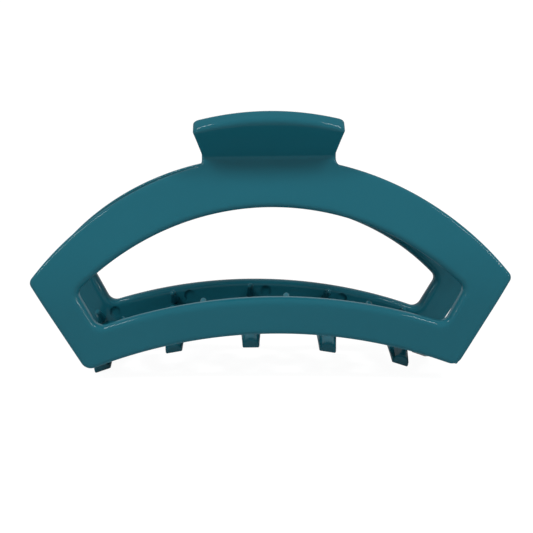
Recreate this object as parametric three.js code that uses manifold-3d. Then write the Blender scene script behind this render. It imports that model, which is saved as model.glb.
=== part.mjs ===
// Claw clip for hair: two identical moulded jaws turn on a steel pin, and a torsion spring
// between their tabs holds them shut. Lengths are in millimetres, +Z is up and X is the width.
// The front jaw lies towards -Y. The clip stands on the outer teeth of both jaws, at z = 0.
import * as THREE from 'three';
import { mergeVertices } from 'three/addons/utils/BufferGeometryUtils.js';
import Module from 'manifold-3d';

const wasm = await Module();
wasm.setup();

const radians = THREE.MathUtils.degToRad;

// Side profile of a jaw: an upright lower bar, a bulge, and a straight plate up to the fold. The
// bulge's radius is a share of the height between its start and the fold.
const HALF_DEPTH = 21;
const PLATE = 4.8;
const BULGE_START = 15.9;
const BULGE_RADIUS_SHARE = 1.05;
const FOLD_DEPTH = 8.1;
const FOLD_BELOW_TOP = 0.2;
const EDGE_RADIUS = 0.9;
const WINDOW_EDGE_RADIUS = 1.6;

// Open frame seen from the front: its outer edge
const FRAME_TOP = 51.9;
const ARCH_RADIUS = 70;
const SIDE_LEVEL = 16.9;
const SIDE_HALF_WIDTH = 52.1;
const SIDE_LEAN = radians(32.1);
const SIDE_CORNER = 1.6;
const FOOT_CORNER = 2.6;

// Lower bar, a strip between two arcs on one centre
const BAR_UNDERSIDE = 10.95;
const BAR_RADIUS = 118;
const BAR_HEIGHT = 8.5;

// Window edge of the frame
const ARCH_HEIGHT = 11.9;
const WINDOW_RADIUS = 63.6;
const SIDE_BAR_WIDTH = 9.3;
const WINDOW_LEAN = radians(29.6);
const WINDOW_CORNER = 1.9;
const WINDOW_FOOT_CORNER = 2.4;

// Thumb tab
const FOLD_RADIUS = 1;
const TAB_FLARE = radians(42);
const TAB_LENGTH = 11.54;
const TAB_RIM = 4.4;
const TAB_RIM_RADIUS = 1.3;
const TAB_NECK_HALF_WIDTH = 16.1;
const TAB_RIM_HALF_WIDTH = 18.2;
const TAB_CORNER = 1.6;
const TAB_CROWN_RADIUS = 70;
const NECK_FILLET = 2.2;
const TAB_ROOT = 5;
const ROOT_INSET = 0.1;

// Hinge
const EAR_RADIUS = 3.3;
const EAR_WIDTH = 3.7;
const EAR_GAP = 0.5;
const EAR_WEB_RISE = 2.5;
const EAR_WEB_DROP = 6;
const EAR_SINK = 1.4;
const EAR_ROUND_END = radians(60);
const HOLE_LENGTH_SHARE = 3;
const PIN_RADIUS = 1.2;
const PIN_CLEARANCE = 0.5;
const PIN_HEAD_RADIUS = 2.4;
const PIN_HEAD_THICKNESS = 0.8;
const PIN_END_GAP = 0.3;

// The loose hinge lets each jaw roll a little towards its shorter end tooth
const JAW_ROLL = radians(0.95);

// Torsion spring
const WIRE = 0.9;
const COIL_GAP = 0.5;
const COIL_TURNS = 6;
const COIL_CLEARANCE = 0.5;
const COIL_END_GAP = 0.35;
const LEG_CLEARANCE = 0.3;
const LEG_SHORT_OF_RIM = 2;

// Teeth, five in each jaw, radial to the lower bar
const TEETH_EACH_SIDE = 2;
const TOOTH_OFFSET = 3.65;
const TOOTH_END_INSET = 0.92;
const TOOTH_ROOT_WIDTH = 6.8;
const TOOTH_TIP_WIDTH = 4;
const TOOTH_ROOT_THICKNESS = 4;
const TOOTH_TIP_THICKNESS = 2.5;
const TOOTH_END_GAP = 3.7;
const TOOTH_ROOT_RISE = 2.2;
const TOOTH_ROOT_SINK = 2.4;
const TOOTH_ARCH = 1.2;
const TOOTH_EDGE = 0.4;
const TOOTH_CROWN = 1.5;
const TIP_CROWN = 6.05;
const TIP_RADIUS = 168;
const TIP_CORNER_LOSS = 0.25;
const SHORT_END_LIFT = 1.8;
const TIP_ROUND_SHARES = [1, 1 / 4, 0];
const TIP_SHRINK_SHARE = 3 / 4;

// Pegs above the teeth, and round ejector marks beside them
const PEG_BELOW_EDGE = 3.3;
const PEG_LEAN = radians(20);
const PEG_LENGTH = 7.8;
const PEG_BASE_RADIUS = 1.3;
const PEG_TIP_RADIUS = 0.75;
const PEG_SINK = 1.2;
const EJECTOR_OFFSET = 3.9;
const EJECTOR_BELOW_EDGE = 2.8;
const EJECTOR_RADIUS = 1.4;
const EJECTOR_DEPTH = 0.35;

// How finely the curves are divided
const ARCH_STEPS = 20;
const BAR_STEPS = 14;
const SIDE_STEPS = 4;
const CORNER_STEPS = 4;
const EDGE_STEPS = 2;
const FACE_STEPS = 3;
const TAB_FACE_STEPS = 10;
const ROUND_STEPS = 24;
const SMALL_ROUND_STEPS = 12;
const PEG_STEPS = 8;
const TOOTH_STEPS = 6;
const COIL_STEPS = 8;
const WIRE_SIDES = 5;
const GAP_SAMPLES = 600;
const NEIGHBOUR_SHARE = 3;

const TEAL = 0x24616f;
const STEEL = 0xb9bcc0;
const PLASTIC_ROUGHNESS = 0.15;
const STEEL_ROUGHNESS = 0.3;

const BAR_CENTRE = new THREE.Vector2(0, BAR_UNDERSIDE - BAR_RADIUS);
const FOLD_LEVEL = FRAME_TOP - FOLD_BELOW_TOP;
const BULGE_RADIUS = BULGE_RADIUS_SHARE * (FOLD_LEVEL - BULGE_START);
const PLATE_LEAN = plateLean();
const TOOTH_REACH = HALF_DEPTH - PLATE - TOOTH_END_GAP;

// The outermost tooth stands near the place where the line of the side meets the floor
const FLOOR_HALF_WIDTH = SIDE_HALF_WIDTH - SIDE_LEVEL * Math.tan(SIDE_LEAN);
const BAR_REACH = BAR_RADIUS * Math.asin(FLOOR_HALF_WIDTH / BAR_RADIUS);
const TOOTH_PITCH = (BAR_REACH - TOOTH_END_INSET - TOOTH_OFFSET) / TEETH_EACH_SIDE;

// The spring's legs lie on the tabs and its coil goes round the pin, which sets the hinge's height
const LEG = legLine();
const COIL_RADIUS = PIN_RADIUS + COIL_CLEARANCE + WIRE / 2;
const HINGE_HEIGHT = (LEG.level + LEG_CLEARANCE + WIRE / 2 - COIL_RADIUS) / LEG.normal.y;
const LEG_LENGTH = LEG.rim - HINGE_HEIGHT * LEG.along.y - LEG_SHORT_OF_RIM;
const LEG_ANGLE = Math.atan2(LEG.normal.y, -LEG.normal.x);
const COIL_TURNING = 2 * Math.PI * COIL_TURNS - (Math.PI - 2 * LEG_ANGLE);
const COIL_LENGTH = (COIL_TURNING / (2 * Math.PI)) * (WIRE + COIL_GAP);
const SPRING_SPACE = COIL_LENGTH + WIRE + 2 * COIL_END_GAP;

// Lean of the plate, the tangent from the fold to the bulge
function plateLean() {
  const bulgeCentre = new THREE.Vector2(HALF_DEPTH - BULGE_RADIUS, BULGE_START);
  const reach = new THREE.Vector2(FOLD_DEPTH, FOLD_LEVEL).sub(bulgeCentre);
  return reach.angle() - Math.acos(BULGE_RADIUS / reach.length());
}

// How far the outer face stands from the hinge plane at a height
function faceDepth(z) {
  const rise = z - BULGE_START;
  if (rise <= 0) return HALF_DEPTH;
  const arcRise = BULGE_RADIUS * Math.sin(PLATE_LEAN);
  if (rise < arcRise) return HALF_DEPTH - BULGE_RADIUS + Math.sqrt(BULGE_RADIUS ** 2 - rise ** 2);
  const arcDrop = BULGE_RADIUS * (1 - Math.cos(PLATE_LEAN));
  return HALF_DEPTH - arcDrop - (rise - arcRise) * Math.tan(PLATE_LEAN);
}

// A point of the front jaw from its place across, its distance from the hinge plane and its height
const jawPoint = (x, depth, z) => new THREE.Vector3(x, -depth, z);

// Closed surface through rings of points. Each ring is an outer row and an inner row back.
function skin(rings, closed) {
  const count = rings[0].length;
  const index = [];
  const last = closed ? rings.length : rings.length - 1;
  for (let i = 0; i < last; i++) {
    const here = i * count;
    const next = ((i + 1) % rings.length) * count;
    for (let j = 0; j < count; j++) {
      const k = (j + 1) % count;
      index.push(here + j, next + j, next + k, here + j, next + k, here + k);
    }
  }
  if (!closed) {
    const end = (rings.length - 1) * count;
    for (let j = 0; j + 1 < count / 2; j++) {
      const a = count - 1 - j;
      const b = a - 1;
      index.push(j, j + 1, b, j, b, a);
      index.push(end + j, end + b, end + j + 1, end + j, end + a, end + b);
    }
  }
  const geometry = new THREE.BufferGeometry().setFromPoints(rings.flat());
  geometry.setIndex(signedVolume(rings.flat(), index) < 0 ? index.reverse() : index);
  return geometry;
}

function signedVolume(points, index) {
  let total = 0;
  for (let i = 0; i < index.length; i += 3) {
    const [a, b, c] = [points[index[i]], points[index[i + 1]], points[index[i + 2]]];
    total += a.dot(new THREE.Vector3().crossVectors(b, c));
  }
  return total;
}

// Places across a strip with rounded edges: distance from the first edge and depth of the round
function roundedColumns(width, radius, faceSteps, lastRadius = radius) {
  const turns = Array.from({ length: EDGE_STEPS + 1 }, (_, i) => (i / EDGE_STEPS) * (Math.PI / 2));
  const round = (edge) => turns.map((turn) => ({
    along: edge * (1 - Math.cos(turn)),
    off: edge * (1 - Math.sin(turn)),
  }));
  const columns = round(radius);
  for (let i = 1; i < faceSteps; i++) {
    const along = THREE.MathUtils.lerp(radius, width - lastRadius, i / faceSteps);
    columns.push({ along, off: 0 });
  }
  const last = round(lastRadius).map(({ along, off }) => ({ along: width - along, off }));
  return [...columns, ...last.reverse()];
}

// A manifold solid from any closed geometry
function solid(geometry) {
  const bare = geometry.clone();
  bare.deleteAttribute('normal');
  bare.deleteAttribute('uv');
  const merged = mergeVertices(bare);
  const vertProperties = new Float32Array(merged.attributes.position.array);
  const triVerts = new Uint32Array(merged.index.array);
  return new wasm.Manifold(new wasm.Mesh({ numProp: 3, vertProperties, triVerts }));
}

function geometryOf(manifold) {
  const mesh = manifold.getMesh();
  const geometry = new THREE.BufferGeometry();
  geometry.setAttribute('position', new THREE.BufferAttribute(mesh.vertProperties, 3));
  geometry.setIndex(new THREE.BufferAttribute(mesh.triVerts, 1));
  geometry.computeVertexNormals();
  return geometry;
}

// Half of an outline, from the top of its arch down the right side to the middle of its bar
function halfOutline({ top, archRadius, halfWidth, lean, barRadius, corner, foot }) {
  const archCentre = new THREE.Vector2(0, top - archRadius);
  const along = new THREE.Vector2(Math.sin(lean), Math.cos(lean));
  const inward = new THREE.Vector2(-Math.cos(lean), Math.sin(lean));
  const start = new THREE.Vector2(halfWidth, SIDE_LEVEL);
  const upper = filletCentre(start, along, inward, corner, archCentre, archRadius - corner);
  const lower = filletCentre(start, along, inward, foot, BAR_CENTRE, barRadius + foot);
  const upperLine = upper.clone().addScaledVector(inward, -corner);
  const lowerLine = lower.clone().addScaledVector(inward, -foot);
  const archEnd = upper.clone().sub(archCentre).angle();
  const barEnd = lower.clone().sub(BAR_CENTRE).angle();
  const sideAngle = inward.clone().negate().angle();
  const points = arcPoints(archCentre, archRadius, Math.PI / 2, archEnd, ARCH_STEPS);
  points.push(...arcPoints(upper, corner, archEnd, unwind(sideAngle), CORNER_STEPS).slice(1));
  for (let i = 1; i < SIDE_STEPS; i++) {
    points.push(upperLine.clone().lerp(lowerLine, i / SIDE_STEPS));
  }
  points.push(...arcPoints(lower, foot, unwind(sideAngle), barEnd - Math.PI, CORNER_STEPS));
  points.push(...arcPoints(BAR_CENTRE, barRadius, barEnd, Math.PI / 2, BAR_STEPS).slice(1));
  return points;
}

const unwind = (angle) => (angle > Math.PI ? angle - 2 * Math.PI : angle);

// Centre of a round that touches a straight side and a circle
function filletCentre(start, along, inward, radius, centre, reach) {
  const base = start.clone().addScaledVector(inward, radius);
  const offset = base.clone().sub(centre);
  const half = offset.dot(along);
  const root = Math.sqrt(half ** 2 - offset.lengthSq() + reach ** 2);
  const travels = [-half + root, -half - root].map((t) => base.clone().addScaledVector(along, t));
  return travels.sort((a, b) => a.distanceTo(start) - b.distanceTo(start))[0];
}

function arcPoints(centre, radius, from, to, steps) {
  const points = [];
  for (let i = 0; i <= steps; i++) {
    const angle = THREE.MathUtils.lerp(from, to, i / steps);
    points.push(new THREE.Vector2(Math.cos(angle), Math.sin(angle)).multiplyScalar(radius).add(centre));
  }
  return points;
}

function wholeOutline(half) {
  const mirrored = half.slice(1, -1).reverse().map((point) => new THREE.Vector2(-point.x, point.y));
  return [...half, ...mirrored];
}

// The arched open frame, a rounded strip lofted between its outer edge and its window
function frameGeometry() {
  const outer = wholeOutline(halfOutline({
    top: FRAME_TOP,
    archRadius: ARCH_RADIUS,
    halfWidth: SIDE_HALF_WIDTH,
    lean: SIDE_LEAN,
    barRadius: BAR_RADIUS,
    corner: SIDE_CORNER,
    foot: FOOT_CORNER,
  }));
  const window = wholeOutline(halfOutline({
    top: FRAME_TOP - ARCH_HEIGHT,
    archRadius: WINDOW_RADIUS,
    halfWidth: SIDE_HALF_WIDTH - SIDE_BAR_WIDTH,
    lean: WINDOW_LEAN,
    barRadius: BAR_RADIUS + BAR_HEIGHT,
    corner: WINDOW_CORNER,
    foot: WINDOW_FOOT_CORNER,
  }));
  const rings = outer.map((edge, i) => stripSection(edge, window[i]));
  return skin(rings, true);
}

function stripSection(edge, windowEdge) {
  const width = edge.distanceTo(windowEdge);
  const columns = roundedColumns(width, EDGE_RADIUS, FACE_STEPS, WINDOW_EDGE_RADIUS);
  const place = (along, below) => {
    const point = edge.clone().lerp(windowEdge, along / width);
    return jawPoint(point.x, faceDepth(point.y) - below, point.y);
  };
  const face = columns.map(({ along, off }) => place(along, off));
  const back = columns.map(({ along, off }) => place(along, PLATE - off)).reverse();
  return [...face, ...back];
}

// Outer edge of the arch at a place across
const archEdge = (x) => FRAME_TOP - ARCH_RADIUS + Math.sqrt(ARCH_RADIUS ** 2 - x ** 2);

// The fold between plate and tab, in a plane of depth and height
function fold() {
  const plateUp = new THREE.Vector2(-Math.sin(PLATE_LEAN), Math.cos(PLATE_LEAN));
  const plateOut = new THREE.Vector2(Math.cos(PLATE_LEAN), Math.sin(PLATE_LEAN));
  const turn = PLATE_LEAN + TAB_FLARE;
  const corner = new THREE.Vector2(faceDepth(FOLD_LEVEL), FOLD_LEVEL);
  const start = corner.addScaledVector(plateUp, -FOLD_RADIUS * Math.tan(turn / 2));
  const centre = start.clone().addScaledVector(plateOut, FOLD_RADIUS);
  const plateThickness = PLATE * Math.cos(PLATE_LEAN);
  return { plateUp, turn, start, centre, plateThickness };
}

// Stations up the tab: a point on its outer face, the way through its wall, and its thickness
function tabStations() {
  const { plateUp, turn, start, centre, plateThickness } = fold();
  const inward = (angle) => new THREE.Vector2(Math.cos(angle), Math.sin(angle));
  const plateAngle = Math.PI + PLATE_LEAN;
  const tabAngle = Math.PI - TAB_FLARE;
  const tabUp = new THREE.Vector2(Math.sin(TAB_FLARE), Math.cos(TAB_FLARE));
  const stations = [];
  for (let i = 0; i < CORNER_STEPS; i++) {
    const back = TAB_ROOT * (1 - i / CORNER_STEPS);
    const point = start.clone().addScaledVector(plateUp, -back);
    stations.push({ point, through: inward(plateAngle), thickness: plateThickness, run: 0 });
  }
  const foldThickness = (plateThickness + TAB_RIM) / 2;
  for (let i = 0; i <= CORNER_STEPS; i++) {
    const share = i / CORNER_STEPS;
    const through = inward(THREE.MathUtils.lerp(plateAngle, tabAngle, share));
    const point = centre.clone().addScaledVector(through, FOLD_RADIUS);
    const thickness = THREE.MathUtils.lerp(plateThickness, foldThickness, share);
    stations.push({ point, through, thickness, run: 0 });
  }
  const foot = stations.at(-1).point;
  const straight = TAB_LENGTH - FOLD_RADIUS * Math.tan(turn / 2);
  const thicknessAt = (run) => THREE.MathUtils.lerp(foldThickness, TAB_RIM, run / straight);
  const flat = straight - TAB_CORNER;
  const runs = [flat / 2, flat];
  for (let i = 1; i <= CORNER_STEPS; i++) {
    runs.push(flat + TAB_CORNER * Math.sin((i / CORNER_STEPS) * (Math.PI / 2)));
  }
  for (const run of runs) {
    const point = foot.clone().addScaledVector(tabUp, run);
    stations.push({ point, through: inward(tabAngle), thickness: thicknessAt(run), run });
  }
  return { stations, straight, tabUp };
}

// Half width of the tab at a station: neck fillets below, a flare, and round corners at the rim
function tabHalfWidth({ point, run }, straight) {
  const filletLevel = archEdge(TAB_NECK_HALF_WIDTH + NECK_FILLET) + NECK_FILLET;
  const below = Math.min(Math.max(filletLevel - point.y, 0), NECK_FILLET);
  const fillet = NECK_FILLET - Math.sqrt(NECK_FILLET ** 2 - below ** 2);
  const flare = (TAB_RIM_HALF_WIDTH - TAB_NECK_HALF_WIDTH) * (run / straight);
  const past = Math.max(run - (straight - TAB_CORNER), 0);
  const corner = TAB_CORNER - Math.sqrt(Math.max(TAB_CORNER ** 2 - past ** 2, 0));
  return TAB_NECK_HALF_WIDTH + fillet + flare - corner;
}

function tabGeometry() {
  const { stations, straight, tabUp } = tabStations();
  const rings = stations.map((station) => {
    const { point, through, thickness, run } = station;
    const half = tabHalfWidth(station, straight);
    const past = Math.max(run - (straight - TAB_RIM_RADIUS), 0);
    const shrink = TAB_RIM_RADIUS - Math.sqrt(Math.max(TAB_RIM_RADIUS ** 2 - past ** 2, 0));
    const inset = ROOT_INSET + shrink;
    const wall = thickness - 2 * inset;
    const edge = Math.min(EDGE_RADIUS, wall / 2 - ROOT_INSET);
    const columns = roundedColumns(2 * half, edge, TAB_FACE_STEPS);
    const place = (along, into) => {
      const x = along - half;
      const dip = (x ** 2 / (2 * TAB_CROWN_RADIUS) / Math.cos(TAB_FLARE)) * (run / straight);
      const flat = point.clone().addScaledVector(through, inset + into).addScaledVector(tabUp, -dip);
      return jawPoint(x, flat.x, flat.y);
    };
    const face = columns.map(({ along, off }) => place(along, off));
    const back = columns.map(({ along, off }) => place(along, wall - off)).reverse();
    return [...face, ...back];
  });
  return skin(rings, false);
}

// Hinge ears: one near the spring on the right and one at the left end, so that the same
// jaw turned round fits between them
const INNER_EAR_START = SPRING_SPACE / 2 + EAR_GAP;
const OUTER_EAR_START = INNER_EAR_START + EAR_WIDTH + EAR_GAP;
const EAR_SPAN = OUTER_EAR_START + EAR_WIDTH;

function earGeometry(left) {
  const webTop = HINGE_HEIGHT + EAR_WEB_RISE;
  const webFoot = HINGE_HEIGHT - EAR_WEB_DROP;
  const seat = (z) => faceDepth(z) - PLATE + EAR_SINK;
  const shape = new THREE.Shape();
  shape.absarc(0, HINGE_HEIGHT, EAR_RADIUS, EAR_ROUND_END, -EAR_ROUND_END, false);
  shape.lineTo(seat(webFoot), webFoot);
  shape.lineTo(seat(webTop), webTop);
  shape.closePath();
  const geometry = new THREE.ExtrudeGeometry(shape, {
    depth: EAR_WIDTH,
    bevelEnabled: false,
    curveSegments: SMALL_ROUND_STEPS,
  });
  const across = new THREE.Vector3(0, -1, 0);
  const up = new THREE.Vector3(0, 0, 1);
  const along = new THREE.Vector3(-1, 0, 0);
  geometry.applyMatrix4(new THREE.Matrix4().makeBasis(across, up, along));
  return geometry.translate(left + EAR_WIDTH, 0, 0);
}

function pinHoleGeometry() {
  const radius = PIN_RADIUS + PIN_CLEARANCE;
  const length = HOLE_LENGTH_SHARE * EAR_SPAN;
  const geometry = new THREE.CylinderGeometry(radius, radius, length, ROUND_STEPS);
  return geometry.rotateZ(Math.PI / 2).translate(0, 0, HINGE_HEIGHT);
}

// Angles of the teeth about the centre of the lower bar. The middle tooth is off centre, so that
// the teeth of the jaw turned round pass between them.
const TOOTH_ANGLES = Array.from({ length: 2 * TEETH_EACH_SIDE + 1 }, (_, i) => (
  ((i - TEETH_EACH_SIDE) * TOOTH_PITCH + TOOTH_OFFSET) / BAR_RADIUS
));

// Height of the underside of a tooth's tip: the lower, rounded corner of the outermost tooth
// reaches the floor of the rolled jaw, and the other end tooth stops just short of it
function tipUnderside(angle, isEnd) {
  const x = BAR_RADIUS * Math.sin(angle);
  const cornerDrop = (TOOTH_TIP_WIDTH / 2) * Math.sin(Math.abs(angle)) - TIP_CORNER_LOSS;
  const lift = angle < 0 ? SHORT_END_LIFT : 0;
  if (isEnd) return cornerDrop + lift - x * Math.tan(JAW_ROLL);
  return TIP_CROWN - x ** 2 / (2 * TIP_RADIUS);
}

// One tooth, a tapered finger that curves in from the lower bar past the hinge plane
function toothGeometry(angle, isEnd) {
  const outward = new THREE.Vector2(Math.sin(angle), Math.cos(angle));
  const sideways = new THREE.Vector2(Math.cos(angle), -Math.sin(angle));
  const rootRadius = BAR_RADIUS + TOOTH_ROOT_RISE;
  const tipHeight = tipUnderside(angle, isEnd) + (TOOTH_TIP_THICKNESS / 2) * Math.cos(angle);
  const tipRadius = (tipHeight - BAR_CENTRE.y) / Math.cos(angle);
  const rootDepth = HALF_DEPTH - PLATE + TOOTH_ROOT_SINK;
  const path = new THREE.QuadraticBezierCurve(
    new THREE.Vector2(rootDepth, rootRadius),
    new THREE.Vector2((rootDepth - TOOTH_REACH) / 2, (rootRadius + tipRadius) / 2 + TOOTH_ARCH),
    new THREE.Vector2(-TOOTH_REACH, tipRadius),
  );
  const rings = [];
  const shares = Array.from({ length: TOOTH_STEPS }, (_, i) => i / TOOTH_STEPS);
  const roundShare = TOOTH_EDGE / (rootDepth + TOOTH_REACH);
  TIP_ROUND_SHARES.forEach((before) => shares.push(1 - roundShare * before));
  shares.forEach((share) => {
    const point = path.getPoint(share);
    const ahead = path.getTangent(share);
    const normal = new THREE.Vector2(-ahead.y, ahead.x).negate();
    const past = Math.max(share - 1 + roundShare, 0) / roundShare;
    const shrink = TOOTH_EDGE * (1 - Math.sqrt(1 - past ** 2 * TIP_SHRINK_SHARE));
    const width = THREE.MathUtils.lerp(TOOTH_ROOT_WIDTH, TOOTH_TIP_WIDTH, share) - 2 * shrink;
    const thick = THREE.MathUtils.lerp(TOOTH_ROOT_THICKNESS, TOOTH_TIP_THICKNESS, share) - 2 * shrink;
    const crown = roundedColumns(width, TOOTH_CROWN, 1);
    const under = roundedColumns(width, TOOTH_EDGE, 1);
    const place = (along, lift) => {
      const spot = point.clone().addScaledVector(normal, lift);
      const across = along - width / 2;
      const x = BAR_CENTRE.x + outward.x * spot.y + sideways.x * across;
      const z = BAR_CENTRE.y + outward.y * spot.y + sideways.y * across;
      return jawPoint(x, spot.x, z);
    };
    const face = crown.map(({ along, off }) => place(along, thick / 2 - off));
    const back = under.map(({ along, off }) => place(along, off - thick / 2)).reverse();
    rings.push([...face, ...back]);
  });
  return skin(rings, false);
}

// A point on the inner face of the lower bar at an angle about the bar's centre
function barBack(angle, belowEdge) {
  const radius = BAR_RADIUS + BAR_HEIGHT - belowEdge;
  const x = radius * Math.sin(angle);
  const z = BAR_CENTRE.y + radius * Math.cos(angle);
  return jawPoint(x, faceDepth(z) - PLATE, z);
}

// A short tapered peg with a domed tip, moulded in and up from the lower bar
function pegGeometry(angle) {
  const profile = [new THREE.Vector2(0, -PEG_SINK), new THREE.Vector2(PEG_BASE_RADIUS, -PEG_SINK)];
  const domeStart = PEG_LENGTH - PEG_TIP_RADIUS;
  for (let i = 0; i <= CORNER_STEPS; i++) {
    const turn = (i / CORNER_STEPS) * (Math.PI / 2);
    const radius = i === CORNER_STEPS ? 0 : PEG_TIP_RADIUS * Math.cos(turn);
    profile.push(new THREE.Vector2(radius, domeStart + PEG_TIP_RADIUS * Math.sin(turn)));
  }
  const geometry = new THREE.LatheGeometry(profile, PEG_STEPS);
  geometry.rotateX(PEG_LEAN);
  const base = barBack(angle, PEG_BELOW_EDGE);
  return geometry.translate(base.x, base.y, base.z);
}

function ejectorGeometry(angle) {
  const depth = 2 * EJECTOR_DEPTH;
  const geometry = new THREE.CylinderGeometry(EJECTOR_RADIUS, EJECTOR_RADIUS, depth, SMALL_ROUND_STEPS);
  const spot = barBack(angle - EJECTOR_OFFSET / BAR_RADIUS, EJECTOR_BELOW_EDGE);
  return geometry.translate(spot.x, spot.y, spot.z);
}

// One jaw in one piece: frame, tab, hinge ears, teeth and pegs
function jawGeometry() {
  let jaw = solid(frameGeometry()).add(solid(tabGeometry()));
  jaw = jaw.add(solid(earGeometry(INNER_EAR_START))).add(solid(earGeometry(-EAR_SPAN)));
  TOOTH_ANGLES.forEach((angle, i) => {
    const isEnd = i === 0 || i === TOOTH_ANGLES.length - 1;
    jaw = jaw.add(solid(toothGeometry(angle, isEnd))).add(solid(pegGeometry(angle)));
    jaw = jaw.subtract(solid(ejectorGeometry(angle)));
  });
  return geometryOf(jaw.subtract(solid(pinHoleGeometry()))).translate(0, 0, -HINGE_HEIGHT);
}

// Steel pin with a thin domed head at each end, outside the outer ears
function pinGeometry() {
  const shank = EAR_SPAN + PIN_END_GAP;
  const end = shank + PIN_HEAD_THICKNESS;
  const profile = [
    new THREE.Vector2(0, -end),
    new THREE.Vector2(PIN_RADIUS, -end),
    new THREE.Vector2(PIN_HEAD_RADIUS, -(shank + end) / 2),
    new THREE.Vector2(PIN_HEAD_RADIUS, -shank),
    new THREE.Vector2(PIN_RADIUS, -shank),
  ];
  const mirrored = profile.map((point) => new THREE.Vector2(point.x, -point.y)).reverse();
  const geometry = new THREE.LatheGeometry([...profile, ...mirrored], ROUND_STEPS);
  return geometry.rotateZ(Math.PI / 2);
}

// Inner face of the front tab, where a spring leg lies, in a plane of depth and height: the way up
// it, the way to the other tab, and how far along these ways the rim and the face are
function legLine() {
  const { stations } = tabStations();
  const inner = ({ point, through, thickness }) => point.clone().addScaledVector(through, thickness);
  const foldEnd = inner(stations[2 * CORNER_STEPS]);
  const rim = inner(stations.at(-1));
  const along = rim.clone().sub(foldEnd).normalize();
  const normal = new THREE.Vector2(-along.y, along.x);
  return { along, normal, rim: rim.dot(along), level: foldEnd.dot(normal) };
}

// Centre line of the torsion spring: a leg on the front tab, the coil and a leg on the rear tab
function springPath() {
  const steps = Math.round((COIL_TURNING / (2 * Math.PI)) * COIL_STEPS);
  const coil = [];
  for (let i = 0; i <= steps; i++) {
    const turn = LEG_ANGLE - (COIL_TURNING * i) / steps;
    const x = COIL_LENGTH * (i / steps - 1 / 2);
    coil.push(new THREE.Vector3(x, COIL_RADIUS * Math.cos(turn), COIL_RADIUS * Math.sin(turn)));
  }
  const leg = LEG.along.clone().multiplyScalar(LEG_LENGTH);
  const first = coil[0].clone().add(new THREE.Vector3(0, -leg.x, leg.y));
  const last = coil.at(-1).clone().add(new THREE.Vector3(0, leg.x, leg.y));
  const half = (a, b) => a.clone().lerp(b, 1 / 2);
  return [first, half(first, coil[0]), ...coil, half(last, coil.at(-1)), last];
}

// Wire of a constant section along the spring's centre line, in one unbroken tube
function springGeometry() {
  const path = springPath();
  const rings = path.map((point, i) => {
    const before = path[Math.max(i - 1, 0)];
    const after = path[Math.min(i + 1, path.length - 1)];
    const ahead = after.clone().sub(before).normalize();
    const radial = new THREE.Vector3(1, 0, 0).cross(ahead).normalize();
    const side = ahead.clone().cross(radial);
    const ring = [];
    for (let j = 0; j < WIRE_SIDES; j++) {
      const turn = (j / WIRE_SIDES) * 2 * Math.PI;
      const offset = radial.clone().multiplyScalar(Math.cos(turn)).addScaledVector(side, Math.sin(turn));
      ring.push(point.clone().addScaledVector(offset, WIRE / 2));
    }
    return ring;
  });
  return tube(rings);
}

// A tube through rings, closed by a fan at each end
function tube(rings) {
  const count = rings[0].length;
  const points = rings.flat();
  const index = [];
  for (let i = 0; i + 1 < rings.length; i++) {
    for (let j = 0; j < count; j++) {
      const k = (j + 1) % count;
      const [here, next] = [i * count, (i + 1) * count];
      index.push(here + j, next + j, next + k, here + j, next + k, here + k);
    }
  }
  const end = (rings.length - 1) * count;
  for (let j = 1; j + 1 < count; j++) {
    index.push(0, j, j + 1, end, end + j + 1, end + j);
  }
  const geometry = new THREE.BufferGeometry().setFromPoints(points);
  geometry.setIndex(signedVolume(points, index) < 0 ? index.reverse() : index);
  geometry.computeVertexNormals();
  return geometry;
}

// Least gap between turns of the spring that aren't neighbours along the wire
function springGap() {
  const path = new THREE.CatmullRomCurve3(springPath()).getSpacedPoints(GAP_SAMPLES);
  let least = Infinity;
  const apart = NEIGHBOUR_SHARE * WIRE;
  const step = path[0].distanceTo(path[1]);
  for (let i = 0; i < path.length; i++) {
    for (let j = i + Math.ceil(apart / step); j < path.length; j++) {
      least = Math.min(least, path[i].distanceTo(path[j]) - WIRE);
    }
  }
  return least;
}

function part(name, geometry, colour, roughness, metalness) {
  const material = new THREE.MeshStandardMaterial({ color: colour, roughness, metalness });
  const mesh = new THREE.Mesh(geometry, material);
  mesh.name = name;
  return mesh;
}

const clip = new THREE.Group();
const jaw = jawGeometry();
const front = part('front_jaw', jaw, TEAL, PLASTIC_ROUGHNESS, 0);
const rear = part('rear_jaw', jaw.clone(), TEAL, PLASTIC_ROUGHNESS, 0);
front.rotation.set(0, -JAW_ROLL, 0, 'ZYX');
rear.rotation.set(0, -JAW_ROLL, Math.PI, 'ZYX');
const pin = part('hinge_pin', pinGeometry(), STEEL, STEEL_ROUGHNESS, 1);
const spring = part('torsion_spring', springGeometry(), STEEL, STEEL_ROUGHNESS, 1);
clip.add(front, rear, pin, spring);
clip.children.forEach((piece) => piece.position.setZ(HINGE_HEIGHT));
console.log(`least gap of the spring to itself: ${springGap().toFixed(2)} mm`);
console.log(`height of the hinge: ${HINGE_HEIGHT.toFixed(4)} mm`);

export default clip;
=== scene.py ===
"""Claw clip for hair, dressed for a product picture.

Two identical moulded jaws of teal plastic turn on a steel pin, and a torsion spring between
their thumb tabs holds them shut. Meshes are drawn in millimetres and written in metres, +Z is up
and X is the width. The front jaw lies towards -Y.
"""

import logging
import math
from abc import ABC, abstractmethod
from dataclasses import dataclass, field
from enum import Enum

import bmesh
import bpy
from bmesh.types import BMEdge, BMesh, BMFace, BMVert
from mathutils import Matrix, Quaternion, Vector


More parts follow.
